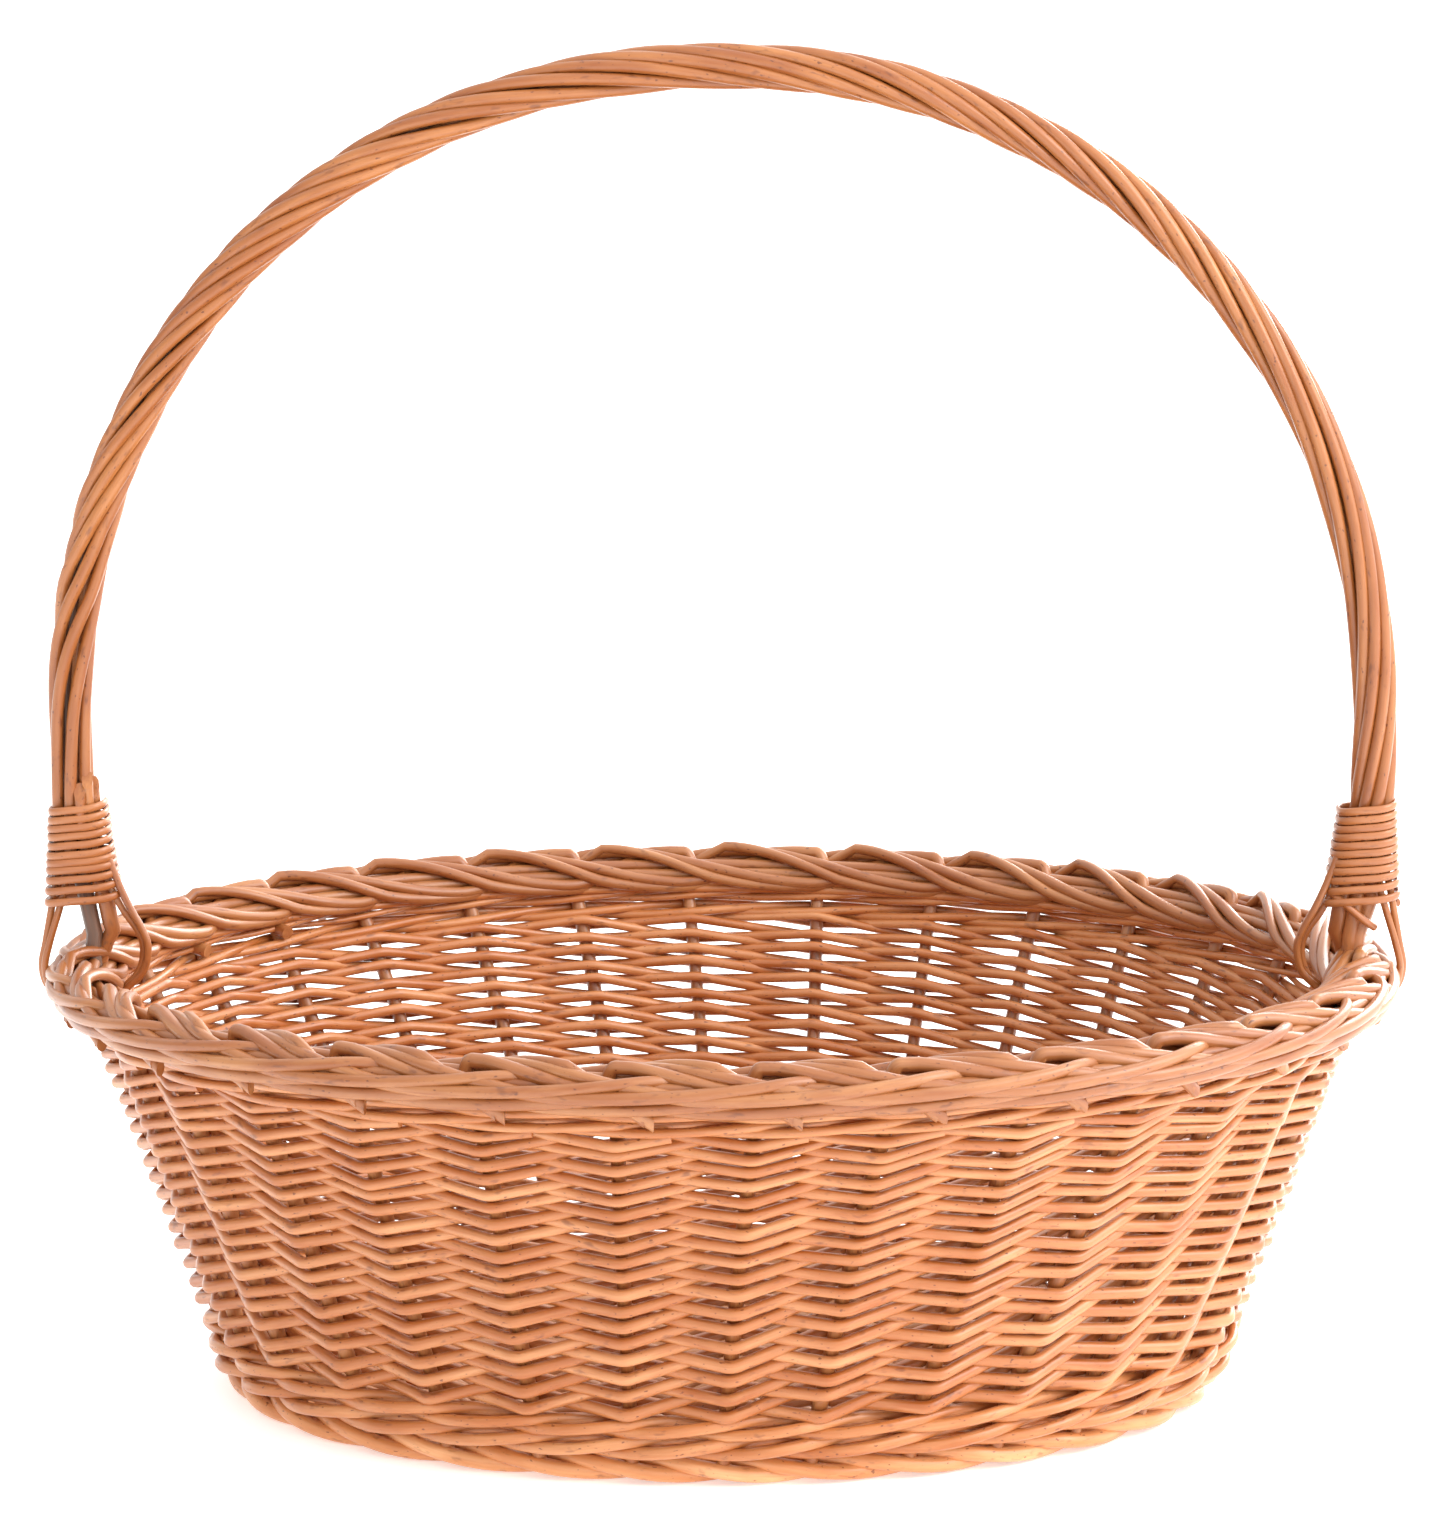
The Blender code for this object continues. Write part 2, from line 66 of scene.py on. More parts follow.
PITCH = 2 * math.pi / STAKE_COUNT
RIM_A = RIM_LENGTH / 2 - BORDER_REACH
RIM_B = RIM_WIDTH / 2 - BORDER_REACH
FOOT_A = FOOT_LENGTH / 2 - FOOT_OUT
FOOT_B = FOOT_WIDTH / 2 - FOOT_OUT
HANDLE_C = HANDLE_HEIGHT - HANDLE_THICKNESS / 2 - HANDLE_WIDEST_AT

# ---------------------------------------------------------------- the rods
ROWS = 35                          # rows of randing, which is also the strokes of one weaver
ROWS_BOTTOM, ROWS_TOP = 0.0250, 0.1250
ROW_DIP = 0.0013                   # how far a rod is beaten down in front of a stake and rides up behind it
CLEARANCE = 0.0004                 # between a weaver and the stake that it passes
LEG_PASS = 0.0062                  # how far past the middle of a leg a weaver turns in again
KINK = 0.0024                      # length of the bend of a weaver on each side of a stake
WEAVER_BUTT, WEAVER_TIP = 0.00212, 0.00170
WALE_RADIUS = 0.0020
WALE_CLIMB = 0.0006                # in one round
TOP_WALE_RADIUS = 0.0017
TOP_WALE_HEIGHT, TOP_WALE_STEP = 0.1274, 0.0052
INNER_ROUNDS = (0.1356, 0.1378)    # heights of the two plain rods inside, under the border
BORDER_RADIUS, BORDER_TIP_RADIUS = 0.00232, 0.00190
FOOT_ROD_RADIUS = 0.0025
FOOT_ROD_HEIGHT, FOOT_ROD_OUT = 0.0048, -0.0021
FOOT_ROD_RISE, FOOT_ROD_SWING = 0.0021, 0.0042
CUT_SLOPE = -0.7                   # of the knife cuts on the ends of border rods
ROPING_RODS = 8
ROPING_RADIUS = 0.00215
PRESSED = 0.45                     # share of its thickness that a split cane loses
ACROSS = np.array([0.0, 1.0, 0.0])

rng = np.random.default_rng(20)


# ---------------------------------------------------------------- lines on the flared oval of the wall
def rise(height):
    """0 at the top of the foot border and 1 at the middle of the rim border."""
    return np.maximum(height - FOOT_HEIGHT, 0.0) / (BORDER_MIDDLE - FOOT_HEIGHT)


def wall_axes(height):
    """Half the length and half the width of the wall at a height."""
    share = rise(height)
    return FOOT_A + (RIM_A - FOOT_A) * share, FOOT_B + (RIM_B - FOOT_B) * share


def unit(vectors):
    vectors = np.asarray(vectors, float)
    return vectors / np.linalg.norm(vectors, axis=-1, keepdims=True)


def on_wall(angle, height):
    """A point on the line of the stakes."""
    a, b = wall_axes(height)
    return np.stack([a * np.cos(angle), b * np.sin(angle), height + 0.0 * angle], axis=-1)


def beside_wall(angle, height, out):
    """A point level with the wall line and 'out' metres outside it."""
    a, b = wall_axes(height)
    normal = unit(np.stack([b * np.cos(angle), a * np.sin(angle), 0.0 * angle], axis=-1))
    return on_wall(angle, height) + normal * np.asarray(out)[..., None]


def across_wall(angle, height, out):
    """A point 'out' metres off the wall, square to its leaning face."""
    a, b = wall_axes(height)
    lean_a = (RIM_A - FOOT_A) / (BORDER_MIDDLE - FOOT_HEIGHT)
    lean_b = (RIM_B - FOOT_B) / (BORDER_MIDDLE - FOOT_HEIGHT)
    cos, sin = np.cos(angle), np.sin(angle)
    normal = unit(np.stack([b * cos, a * sin, -(a * lean_b * sin * sin + b * lean_a * cos * cos)], axis=-1))
    return on_wall(angle, height) + normal * np.asarray(out)[..., None]


def stake_angle(index, height):
    """The angle of stake 'index', or of a place between two stakes; the index may run past the last one."""
    share = np.minimum(rise(height), 1.0)
    angle = STAKE_PHASE + PITCH * np.asarray(index, float)
    return angle + FOOT_SPREAD * np.sin(2 * angle) * (1 - share) + STAKE_TWIST * share + stake_wander(index)


STAKE_WANDER = rng.uniform(-0.012, 0.012, STAKE_COUNT)


def stake_wander(index):
    index = np.asarray(index, float)
    low = np.floor(index).astype(int)
    share = index - low
    return STAKE_WANDER[low % STAKE_COUNT] * (1 - share) + STAKE_WANDER[(low + 1) % STAKE_COUNT] * share


def before_leg(index):
    """True for the last stake before each leg of the handle."""
    return index % STAKE_COUNT in (STAKE_COUNT - 1, STAKE_COUNT // 2 - 1)


def bent(corners, cut, steps=4):
    """A line through corners, each rounded over 'cut' metres on both sides."""
    corners = np.asarray(corners, float)
    cuts = np.broadcast_to(cut, len(corners))
    line = [corners[0]]
    for place in range(1, len(corners) - 1):
        before, here, after = corners[place - 1:place + 2]
        reach_in = min(cuts[place], 0.45 * np.linalg.norm(before - here))
        reach_out = min(cuts[place], 0.45 * np.linalg.norm(after - here))
        start = here + unit(before - here) * reach_in
        end = here + unit(after - here) * reach_out
        for share in np.linspace(0, 1, steps + 1):
            line.append(start * (1 - share) ** 2 + here * 2 * share * (1 - share) + end * share ** 2)
    return np.array(line + [corners[-1]])


def flowing(corners, steps=6):
    """A smooth line through all the corners."""
    p = np.asarray(corners, float)
    p = np.concatenate([[2 * p[0] - p[1]], p, [2 * p[-1] - p[-2]]])
    line = []
    for place in range(1, len(p) - 2):
        for share in np.arange(steps) / steps:
            before, start, end, after = p[place - 1:place + 3]
            line.append(0.5 * (2 * start + (end - before) * share
                               + (2 * before - 5 * start + 4 * end - after) * share ** 2
                               + (3 * start - before - 3 * end + after) * share ** 3))
    return np.array(line + [p[-2]])


def lengths(points):
    """How far along the line each point lies."""
    return np.concatenate([[0.0], np.cumsum(np.linalg.norm(np.diff(points, axis=0), axis=1))])


def drift(count, size, waves=3):
    """A slow wandering of about 'size' along a rod of 'count' points."""
    places = np.linspace(0, 1, count)
    total = np.zeros(count)
    for wave in range(1, waves + 1):
        total += rng.normal() * np.sin(2 * math.pi * (wave * places * 1.5 + rng.random())) / wave
    return total * size


# ---------------------------------------------------------------- rods as meshes
def rod(points, radius, slant=0.0, tint=None, press=None):
    """One rod: its line and radius, the slope of the knife cut at its far end, its darkness, and the
    directions in which it is pressed flat. Darkness runs from 0 to 1, and on to 2 for a stained rod."""
    radius = np.broadcast_to(np.asarray(radius, float), len(points)).copy()
    return {"points": np.asarray(points, float), "radius": radius, "slant": slant,
            "tint": np.broadcast_to(rng.random() if tint is None else tint, len(points)), "press": press}


def strip_places(mesh, girth, sides, along, total):
    """UVs that lay every rod out as side by side strips, cut to one length."""
    corner_vertex = np.zeros(len(mesh.loops), int)
    mesh.loops.foreach_get("vertex_index", corner_vertex)
    counts = np.zeros(len(mesh.polygons), int)
    mesh.polygons.foreach_get("loop_total", counts)
    face = np.repeat(np.arange(len(counts)), counts)
    side = (corner_vertex % sides).astype(float)
    low_side = np.full(len(counts), sides, float)
    np.minimum.at(low_side, face, side)
    high_side = np.zeros(len(counts))
    np.maximum.at(high_side, face, side)
    wraps = (low_side == 0) & (high_side == sides - 1) & (counts == 4)
    side = np.where(wraps[face] & (side == 0), sides, side)
    strip = math.sqrt(total * girth * 1.25)
    strips = math.ceil(total / strip) + 1
    first = np.full(len(counts), 1e9)
    np.minimum.at(first, face, along[corner_vertex])
    row = np.floor(first / strip)[face]
    u = (along[corner_vertex] - row * strip) / (strip * 1.12) + 0.005
    v = (row + 0.06 + 0.86 * side / sides) / strips
    cap = counts[face] != 4
    turn = 2 * math.pi * side / sides
    u = np.where(cap, 0.965 + 0.01 * np.cos(turn) + 0.015 * (first[face] / strip % 1), u)
    v = np.where(cap, (row + 0.5 + 0.3 * np.sin(turn)) / strips, v)
    return np.stack([np.clip(u, 0, 1), np.clip(v, 0, 1)], axis=-1)


def make_rods(name, rods, material, nodes, sides=10):
    """Joins rods in one piece, with the coordinates that their grain follows.

    The mesh of a curve holds the two end caps of each rod first, from the last rod to the first, and then the
    rings of every rod in order.
    """
    curve = bpy.data.curves.new(name, "CURVE")
    curve.dimensions = "3D"
    curve.bevel_depth = 1.0
    curve.bevel_resolution = (sides - 4) // 2
    curve.use_fill_caps = True
    for item in rods:
        spline = curve.splines.new("POLY")
        spline.points.add(len(item["points"]) - 1)
        spline.points.foreach_set("co", np.c_[item["points"], np.ones(len(item["points"]))].ravel())
        spline.points.foreach_set("radius", item["radius"])
    source = bpy.data.objects.new(name + "_line", curve)
    bpy.context.collection.objects.link(source)
    shape = source.evaluated_get(bpy.context.evaluated_depsgraph_get())
    mesh = bpy.data.meshes.new_from_object(shape)
    bpy.data.objects.remove(source)
    bpy.data.curves.remove(curve)
    mesh.name = name
    piece = bpy.data.objects.new(name, mesh)
    bpy.context.collection.objects.link(piece)

    places = np.zeros(len(mesh.vertices) * 3)
    mesh.vertices.foreach_get("co", places)
    places = places.reshape(-1, 3)
    turn = 2 * math.pi * np.arange(sides) / sides
    values = {"grain": [], "tint": [], "along": []}
    caps = []
    begun, cap = 0.0, 2 * len(rods)
    first = cap * sides
    for item in rods:
        count = len(item["points"])
        along = lengths(item["points"])
        offset = rng.uniform(0, 9, 3)
        ring = np.stack(np.broadcast_arrays(
            item["radius"][:, None] * np.cos(turn) + offset[0],
            item["radius"][:, None] * np.sin(turn) + offset[1],
            along[:, None] + offset[2]), axis=-1)
        cap -= 2
        if item["press"] is not None:
            for start, which in ((first, slice(None)), (cap * sides, slice(-1, None)),
                                 ((cap + 1) * sides, slice(0, 1))):
                centres, way = item["points"][which, None], item["press"][which, None]
                rings = places[start:start + len(centres) * sides].reshape(-1, sides, 3)
                rings -= PRESSED * ((rings - centres) * way).sum(-1, keepdims=True) * way
        if item["slant"]:
            ahead = unit(item["points"][-1] - item["points"][-2])
            up = np.array([0.0, 0.0, 1.0] if abs(ahead[2]) < 0.8 else [0.0, 1.0, 0.0])
            across = unit(up - ahead * (up @ ahead))
            for start in (first + (count - 1) * sides, cap * sides):
                depth = (places[start:start + sides] - item["points"][-1]) @ across
                places[start:start + sides] += ahead * (depth * item["slant"])[:, None]
        rows = {"grain": ring, "tint": np.repeat(item["tint"][:, None], sides, axis=1),
                "along": np.repeat((along + begun)[:, None], sides, axis=1)}
        for label, row in rows.items():
            values[label].append(row.reshape(count * sides, -1))
        caps.append({label: np.concatenate([row[-1], row[0]]).reshape(2 * sides, -1)
                     for label, row in rows.items()})
        begun += along[-1] + 0.002
        first += count * sides
    values = {label: np.concatenate([ends[label] for ends in reversed(caps)] + parts)
              for label, parts in values.items()}
    mesh.vertices.foreach_set("co", places.ravel())
    mesh.attributes.new("grain", "FLOAT_VECTOR", "POINT").data.foreach_set("vector", values["grain"].ravel())
    mesh.attributes.new("tint", "FLOAT", "POINT").data.foreach_set("value", values["tint"].ravel())
    counts = np.zeros(len(mesh.polygons), int)
    mesh.polygons.foreach_get("loop_total", counts)
    mesh.polygons.foreach_set("use_smooth", counts == 4)
    mesh.polygons.foreach_set("material_index", (counts != 4).astype(int))
    girth = 2 * math.pi * float(np.mean([item["radius"].mean() for item in rods]))
    uv = strip_places(mesh, girth, sides, values["along"].ravel(), begun)
    layer = mesh.uv_layers.new(name="OFBake")
    layer.data.foreach_set("uv", uv.ravel())
    mesh.materials.clear()
    mesh.materials.append(material)
    mesh.materials.append(CUT_WOOD)
    mesh.update()
    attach(piece, "root")
    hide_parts(*nodes)


# ---------------------------------------------------------------- materials
def add(tree, kind, **inputs):
    """A new node with some of its inputs or settings filled in."""
    node = tree.nodes.new(kind)
    for key, value in inputs.items():
        if key in node.inputs:
            node.inputs[key].default_value = value
        else:
            setattr(node, key, value)
    return node


def mix_colour(tree, factor, first, second):
    node = tree.nodes.new("ShaderNodeMix")
    node.data_type = "RGBA"
    for socket, value in ((node.inputs[0], factor), (node.inputs[6], first), (node.inputs[7], second)):
        if isinstance(value, bpy.types.NodeSocket):
            tree.links.new(value, socket)
        else:
            socket.default_value = value
    return node.outputs[2]


def spread(tree, value, low, high, new_low=0.0, new_high=1.0):
    """The value, stretched so that low to high becomes new_low to new_high."""
    node = add(tree, "ShaderNodeMapRange")
    tree.links.new(value, node.inputs[0])
    for place, number in enumerate((low, high, new_low, new_high), start=1):
        node.inputs[place].default_value = number
    return node.outputs[0]


def grain_noise(tree, grain, scale, detail, roughness):
    """Noise with one scale across the rod, given twice, and another along it."""
    stretched = tree.nodes.new("ShaderNodeVectorMath")
    stretched.operation = "MULTIPLY"
    tree.links.new(grain, stretched.inputs[0])
    stretched.inputs[1].default_value = scale
    node = add(tree, "ShaderNodeTexNoise", Scale=1.0, Detail=detail, Roughness=roughness)
    tree.links.new(stretched.outputs[0], node.inputs["Vector"])
    return node.outputs["Fac"]


def make_willow_group():
    """Colour, roughness and relief of a peeled rod, from its lengthwise grain."""
    tree = bpy.data.node_groups.new("peeled_rod", "ShaderNodeTree")
    for name, kind in (("Light", "NodeSocketColor"), ("Dark", "NodeSocketColor"),
                       ("Stain", "NodeSocketColor"), ("Contrast", "NodeSocketFloat")):
        tree.interface.new_socket(name, in_out="INPUT", socket_type=kind)
    for name, kind in (("Color", "NodeSocketColor"), ("Roughness", "NodeSocketFloat"),
                       ("Height", "NodeSocketFloat")):
        tree.interface.new_socket(name, in_out="OUTPUT", socket_type=kind)
    given = tree.nodes.new("NodeGroupInput").outputs
    result = tree.nodes.new("NodeGroupOutput").inputs
    grain = add(tree, "ShaderNodeAttribute", attribute_name="grain").outputs["Vector"]
    tint = add(tree, "ShaderNodeAttribute", attribute_name="tint").outputs["Fac"]

    streaks = grain_noise(tree, grain, (1400, 1400, 60), 3.0, 0.6)
    patches = grain_noise(tree, grain, (180, 180, 28), 3.0, 0.6)
    blotches = grain_noise(tree, grain, (420, 420, 160), 2.0, 0.5)
    specks = grain_noise(tree, grain, (900, 900, 500), 1.0, 0.5)

    body = mix_colour(tree, spread(tree, patches, 0.35, 0.68), given["Light"], given["Dark"])
    own = mix_colour(tree, spread(tree, tint, 0.0, 1.0, 0.0, 0.5), body, given["Dark"])
    own = mix_colour(tree, spread(tree, tint, 1.0, 2.0), own, given["Stain"])
    streaked = mix_colour(tree, spread(tree, streaks, 0.45, 0.75, 0.0, 0.35), own, given["Dark"])
    stained = mix_colour(tree, spread(tree, blotches, 0.62, 0.74, 0.0, 0.55), streaked, given["Stain"])
    specked = mix_colour(tree, spread(tree, specks, 0.70, 0.76, 0.0, 0.8), stained, given["Stain"])
    tree.links.new(mix_colour(tree, given["Contrast"], given["Light"], specked), result["Color"])
    tree.links.new(spread(tree, streaks, 0.3, 0.7, 0.34, 0.5), result["Roughness"])
    relief = tree.nodes.new("ShaderNodeMath")
    relief.operation = "MULTIPLY_ADD"
    tree.links.new(blotches, relief.inputs[0])
    relief.inputs[1].default_value = 0.6
    tree.links.new(streaks, relief.inputs[2])
    tree.links.new(relief.outputs[0], result["Height"])
    return tree


RELIEF_DEPTH = 0.00018


def willow(name, light, dark, stain, contrast=1.0, coat=0.5):
    """Peeled willow in one light and one dark colour, with marks in a third."""
    material = bpy.data.materials.new(name)
    material.use_nodes = True
    tree = material.node_tree
    shader = tree.nodes["Principled BSDF"]
    group = tree.nodes.new("ShaderNodeGroup")
    group.node_tree = WILLOW_GROUP
    for key, value in (("Light", light), ("Dark", dark), ("Stain", stain)):
        group.inputs[key].default_value = (*value, 1.0)
    group.inputs["Contrast"].default_value = contrast
    bump = tree.nodes.new("ShaderNodeBump")
    bump.inputs["Distance"].default_value = RELIEF_DEPTH
    bump.inputs["Strength"].default_value = 0.6
    tree.links.new(group.outputs["Height"], bump.inputs["Height"])
    tree.links.new(bump.outputs["Normal"], shader.inputs["Normal"])
    tree.links.new(group.outputs["Color"], shader.inputs["Base Color"])
    tree.links.new(group.outputs["Roughness"], shader.inputs["Roughness"])
    shader.inputs["Coat Weight"].default_value = coat
    shader.inputs["Coat Roughness"].default_value = 0.32
    return material


def cut_wood():
    """The pale pith of a cut end."""
    material = bpy.data.materials.new("cut_willow")
    material.use_nodes = True
    tree = material.node_tree
    shader = tree.nodes["Principled BSDF"]
    grain = add(tree, "ShaderNodeAttribute", attribute_name="grain").outputs["Vector"]
    fibres = grain_noise(tree, grain, (2200, 2200, 200), 2.0, 0.6)
    colour = mix_colour(tree, spread(tree, fibres, 0.35, 0.7), (0.90, 0.62, 0.40, 1), (0.70, 0.40, 0.20, 1))
    tree.links.new(colour, shader.inputs["Base Color"])
    shader.inputs["Roughness"].default_value = 0.7
    return material


WILLOW_GROUP = make_willow_group()
CUT_WOOD = cut_wood()
WEAVE = willow("weave_willow", (0.64, 0.285, 0.112), (0.40, 0.108, 0.016), (0.13, 0.024, 0.003))
WALE = willow("wale_willow", (0.66, 0.300, 0.118), (0.44, 0.128, 0.022), (0.14, 0.028, 0.004))
# The foot's willow is the wale willow painted lighter: painted light standing in for light bounced up from
# the pale floor.
FOOT_PAINTED_BOUNCE = willow("foot_willow_painted_bounce", (0.84, 0.430, 0.190), (0.58, 0.200, 0.050), (0.20, 0.050, 0.010))
BORDER = willow("border_willow", (0.46, 0.190, 0.064), (0.29, 0.080, 0.014), (0.10, 0.020, 0.004))
ROPING = willow("roping_willow", (0.46, 0.172, 0.046), (0.28, 0.074, 0.011), (0.10, 0.020, 0.004))
CORE = willow("handle_core_willow", (0.50, 0.190, 0.060), (0.32, 0.095, 0.024), (0.135, 0.072, 0.044),
              coat=0.2)
CANE = willow("lashing_cane", (0.46, 0.170, 0.052), (0.32, 0.092, 0.021), (0.14, 0.036, 0.010),
              contrast=0.8)
BASE = willow("base_willow", (0.50, 0.240, 0.115), (0.34, 0.140, 0.060), (0.15, 0.055, 0.025), coat=0.1)


# ---------------------------------------------------------------- wall
def row_height(step):
    """Height of a row at a stake; rods thin out towards their tips, so the rows close up."""
    share = step / ROWS
    return ROWS_BOTTOM + (ROWS_TOP - ROWS_BOTTOM) * (share * 1.17 - share ** 2 * 0.17)


def weaver(start):
    """One rod of the randing: in front of one stake, behind the next, once round and all the way up."""
    corners, radii = [], []
    thick = rng.uniform(0.93, 1.06)
    butt, tip = WEAVER_BUTT * thick, WEAVER_TIP * rng.uniform(0.92, 1.08)
    first = start - 0.45               # the butt end lies inside, between two stakes
    corners.append(across_wall(stake_angle(first, ROWS_BOTTOM), ROWS_BOTTOM - 0.001, -0.0062))
    radii.append(butt)
    for step in range(ROWS + 1):
        height = row_height(step)
        radius = butt + (tip - butt) * step / ROWS
        side = -1 if step % 2 == 0 else 1
        out = side * (STAKE_RADIUS + radius + CLEARANCE) + rng.normal() * 0.0002
        here = height - side * ROW_DIP * rng.uniform(0.6, 1.3) + rng.normal() * 0.0004
        index = start + step
        corners.append(across_wall(stake_angle(index, height), here, out))
        radii.append(radius)
        if before_leg(index) and height > CORE_TAIL_HEIGHT:
            leg = math.pi * round(float(stake_angle(index, height)) / math.pi)
            corners.append(across_wall(leg + LEG_PASS / wall_axes(height)[1], here + 0.0012, out))
            radii.append(radius)
    last = start + ROWS + 0.4
    corners.append(across_wall(stake_angle(last, ROWS_TOP), ROWS_TOP + 0.001, side * 0.003))
    radii.append(tip)
    corners, radii = np.array(corners), np.array(radii)
    line = bent(corners, KINK)
    return rod(line, np.interp(lengths(line), lengths(corners), radii))


def wale(bottom, radius, swing, rope, strand, start=0):
    """One round of one rod of a wale: in front of two stakes and behind the third.

    'swing' is how far it goes out and in, and 'rope' how far it goes up and down.
    """
    places = np.arange(0, STAKE_COUNT * 8 + 1) / 8
    index = start + strand + places
    phase = 2 * math.pi * (places - 0.5) / 3
    height = bottom + WALE_CLIMB * places / STAKE_COUNT + rope * np.sin(phase) + drift(len(places), 0.0003, 6)
    out = 0.0015 + swing * np.cos(phase)
    line = beside_wall(stake_angle(index, height), height, out)
    taper = np.interp(places, (0, 6, places[-1] - 6, places[-1]), (0.9, 1.0, 0.9, 0.6))
    return rod(line, radius * taper * rng.uniform(0.94, 1.04))


def make_wall():
    groups = 5
    per_group = STAKE_COUNT // groups
    for group in range(groups):
        rods = [weaver(start) for start in range(group * per_group, (group + 1) * per_group)]
        make_rods(f"weavers_{group + 1}", rods, WEAVE, [f"wall_weave_{group + 1}"])
    for strand in range(3):
        rods = [wale(0.0129, WALE_RADIUS * 1.16, 0.0058, 0.0022, strand),
                wale(0.0200, WALE_RADIUS * 1.04, 0.0054, 0.0019, strand, start=7)]
        make_rods(f"upsett_rods_{strand + 1}", rods, WALE, [f"upsett_wale_{strand + 1}"])
    for level in range(2):
        rods = [wale(TOP_WALE_HEIGHT + TOP_WALE_STEP * level, TOP_WALE_RADIUS, 0.0048, 0.0013, strand,
                     start=11 * level) for strand in range(3)]
        if level == 1:
            places = np.arange(0, STAKE_COUNT * 4 + 1) / 4
            for middle in INNER_ROUNDS:
                height = middle + drift(len(places), 0.0004, 9)
                rods.append(rod(beside_wall(stake_angle(places, height), height, -0.0044), 0.0015))
        make_rods(f"top_wale_rods_{level + 1}", rods, WALE, [f"top_wale_{level + 1}"])


# ---------------------------------------------------------------- border
PLAIT_STAKES = 5                   # stakes that one strand passes before it is inside again
LEAD = 0.55                        # stakes before the fold at which the course of a strand begins
LANE = 0.0042                      # between the rods of a strand, side by side
PLAIT_OUT, PLAIT_HEIGHT = -0.0010, 0.1413      # the middle of the plait's section
# (stakes past the fold, metres outside the stakes, height) of a strand: over the top, in under the outer
# strands, up the outer face, and under the top strands to the inner edge
STRAND_LINE = np.array((
    (-0.55, -0.0080, 0.1400), (-0.30, -0.0075, 0.1424), (0.00, -0.0050, 0.1452), (0.30, -0.0010, 0.1470),
    (0.60, 0.0042, 0.1470), (0.80, 0.0076, 0.1458), (1.00, 0.0096, 0.1434), (1.20, 0.0106, 0.1404),
    (1.50, 0.0118, 0.1381), (1.80, 0.0127, 0.1379), (2.20, 0.0130, 0.1387), (2.60, 0.0126, 0.1400),
    (3.00, 0.0111, 0.1419), (3.20, 0.0090, 0.1430), (3.40, 0.0050, 0.1424), (3.60, 0.0000, 0.1405),
    (3.80, -0.0045, 0.1386), (4.05, -0.0072, 0.1377), (4.45, -0.0080, 0.1400)))
SMOOTHING = np.array((1, 2, 3, 4, 3, 2, 1)) / 16
# how much of a lane the rods of a strand keep between them, by stakes past the fold
LANE_SPREAD = ((-LEAD, -0.2, 0.7, 0.95, 1.2, 3.3, 3.7, 4.1, 4.45), (0.7, 1, 1, 0.5, 1, 1, 0.5, 0.5, 0.7))
# the lane of one rod, which changes each time it goes round the plait
OWN_LANE = ((0, 0.8, 1.2, 3.3, 4.3, 5.8, 6.2, 8.3, 9.3, 10.72), (1, 1, 0.5, 0.5, 0, 0, -0.5, -0.5, -1, -0.7))
# (metres outside the stakes, height) of the rods that lie inside the plait, for the three pieces
LYING_RODS = (((0.0042, 0.1412),),
              ((0.0075, 0.1398), (-0.0035, 0.1408)),
              ((-0.0010, 0.1432), (0.0080, 0.1428)))
INNER_ENDS = ((154.0,), (140.5,), ())      # in degrees, round from the right, for the three pieces
# (stakes past the fold, metres outside the stakes, height) of the fold, the cut end and the short second end
FOLD = ((-0.07, 0.0006, 0.1410), (-0.01, -0.0002, 0.1475))
TAIL_LINE = np.array(((10.98, 0.0090, 0.1412), (11.10, 0.0103, 0.1372), (11.22, 0.0116, 0.1330)))
STUB_LINE = np.array(((0.02, 0.0105, 0.1400), (0.12, 0.0112, 0.1362), (0.26, 0.0112, 0.1318)))


def strand_place(share):
    """(metres outside the stakes, height, share of the lane spread) of the middle of a strand."""
    place = (share + LEAD) % PLAIT_STAKES - LEAD
    fine = np.arange(-LEAD, 4.46, 0.05)
    rows = []
    for values in (STRAND_LINE[:, 1], STRAND_LINE[:, 2]):
        row = np.interp(fine, STRAND_LINE[:, 0], values)
        ring = np.concatenate([row[-4:-1], row, row[1:4]])
        rows.append(np.interp(place, fine, np.convolve(ring, SMOOTHING, "valid")))
    return rows[0], rows[1], np.interp(place, *LANE_SPREAD)


def border_place(stake, share, lane):
    """A point of one rod of the plait, 'share' stakes past the fold of that rod's stake."""
    out, height, spread_out = strand_place(share)
    normal = unit(np.stack([out - PLAIT_OUT, (height - PLAIT_HEIGHT) * 1.25], -1))
    out = out + normal[:, 1] * lane * LANE * spread_out
    height = height - normal[:, 0] * lane * LANE * spread_out
    return beside_wall(stake_angle(stake + share, BORDER_MIDDLE), height, out)


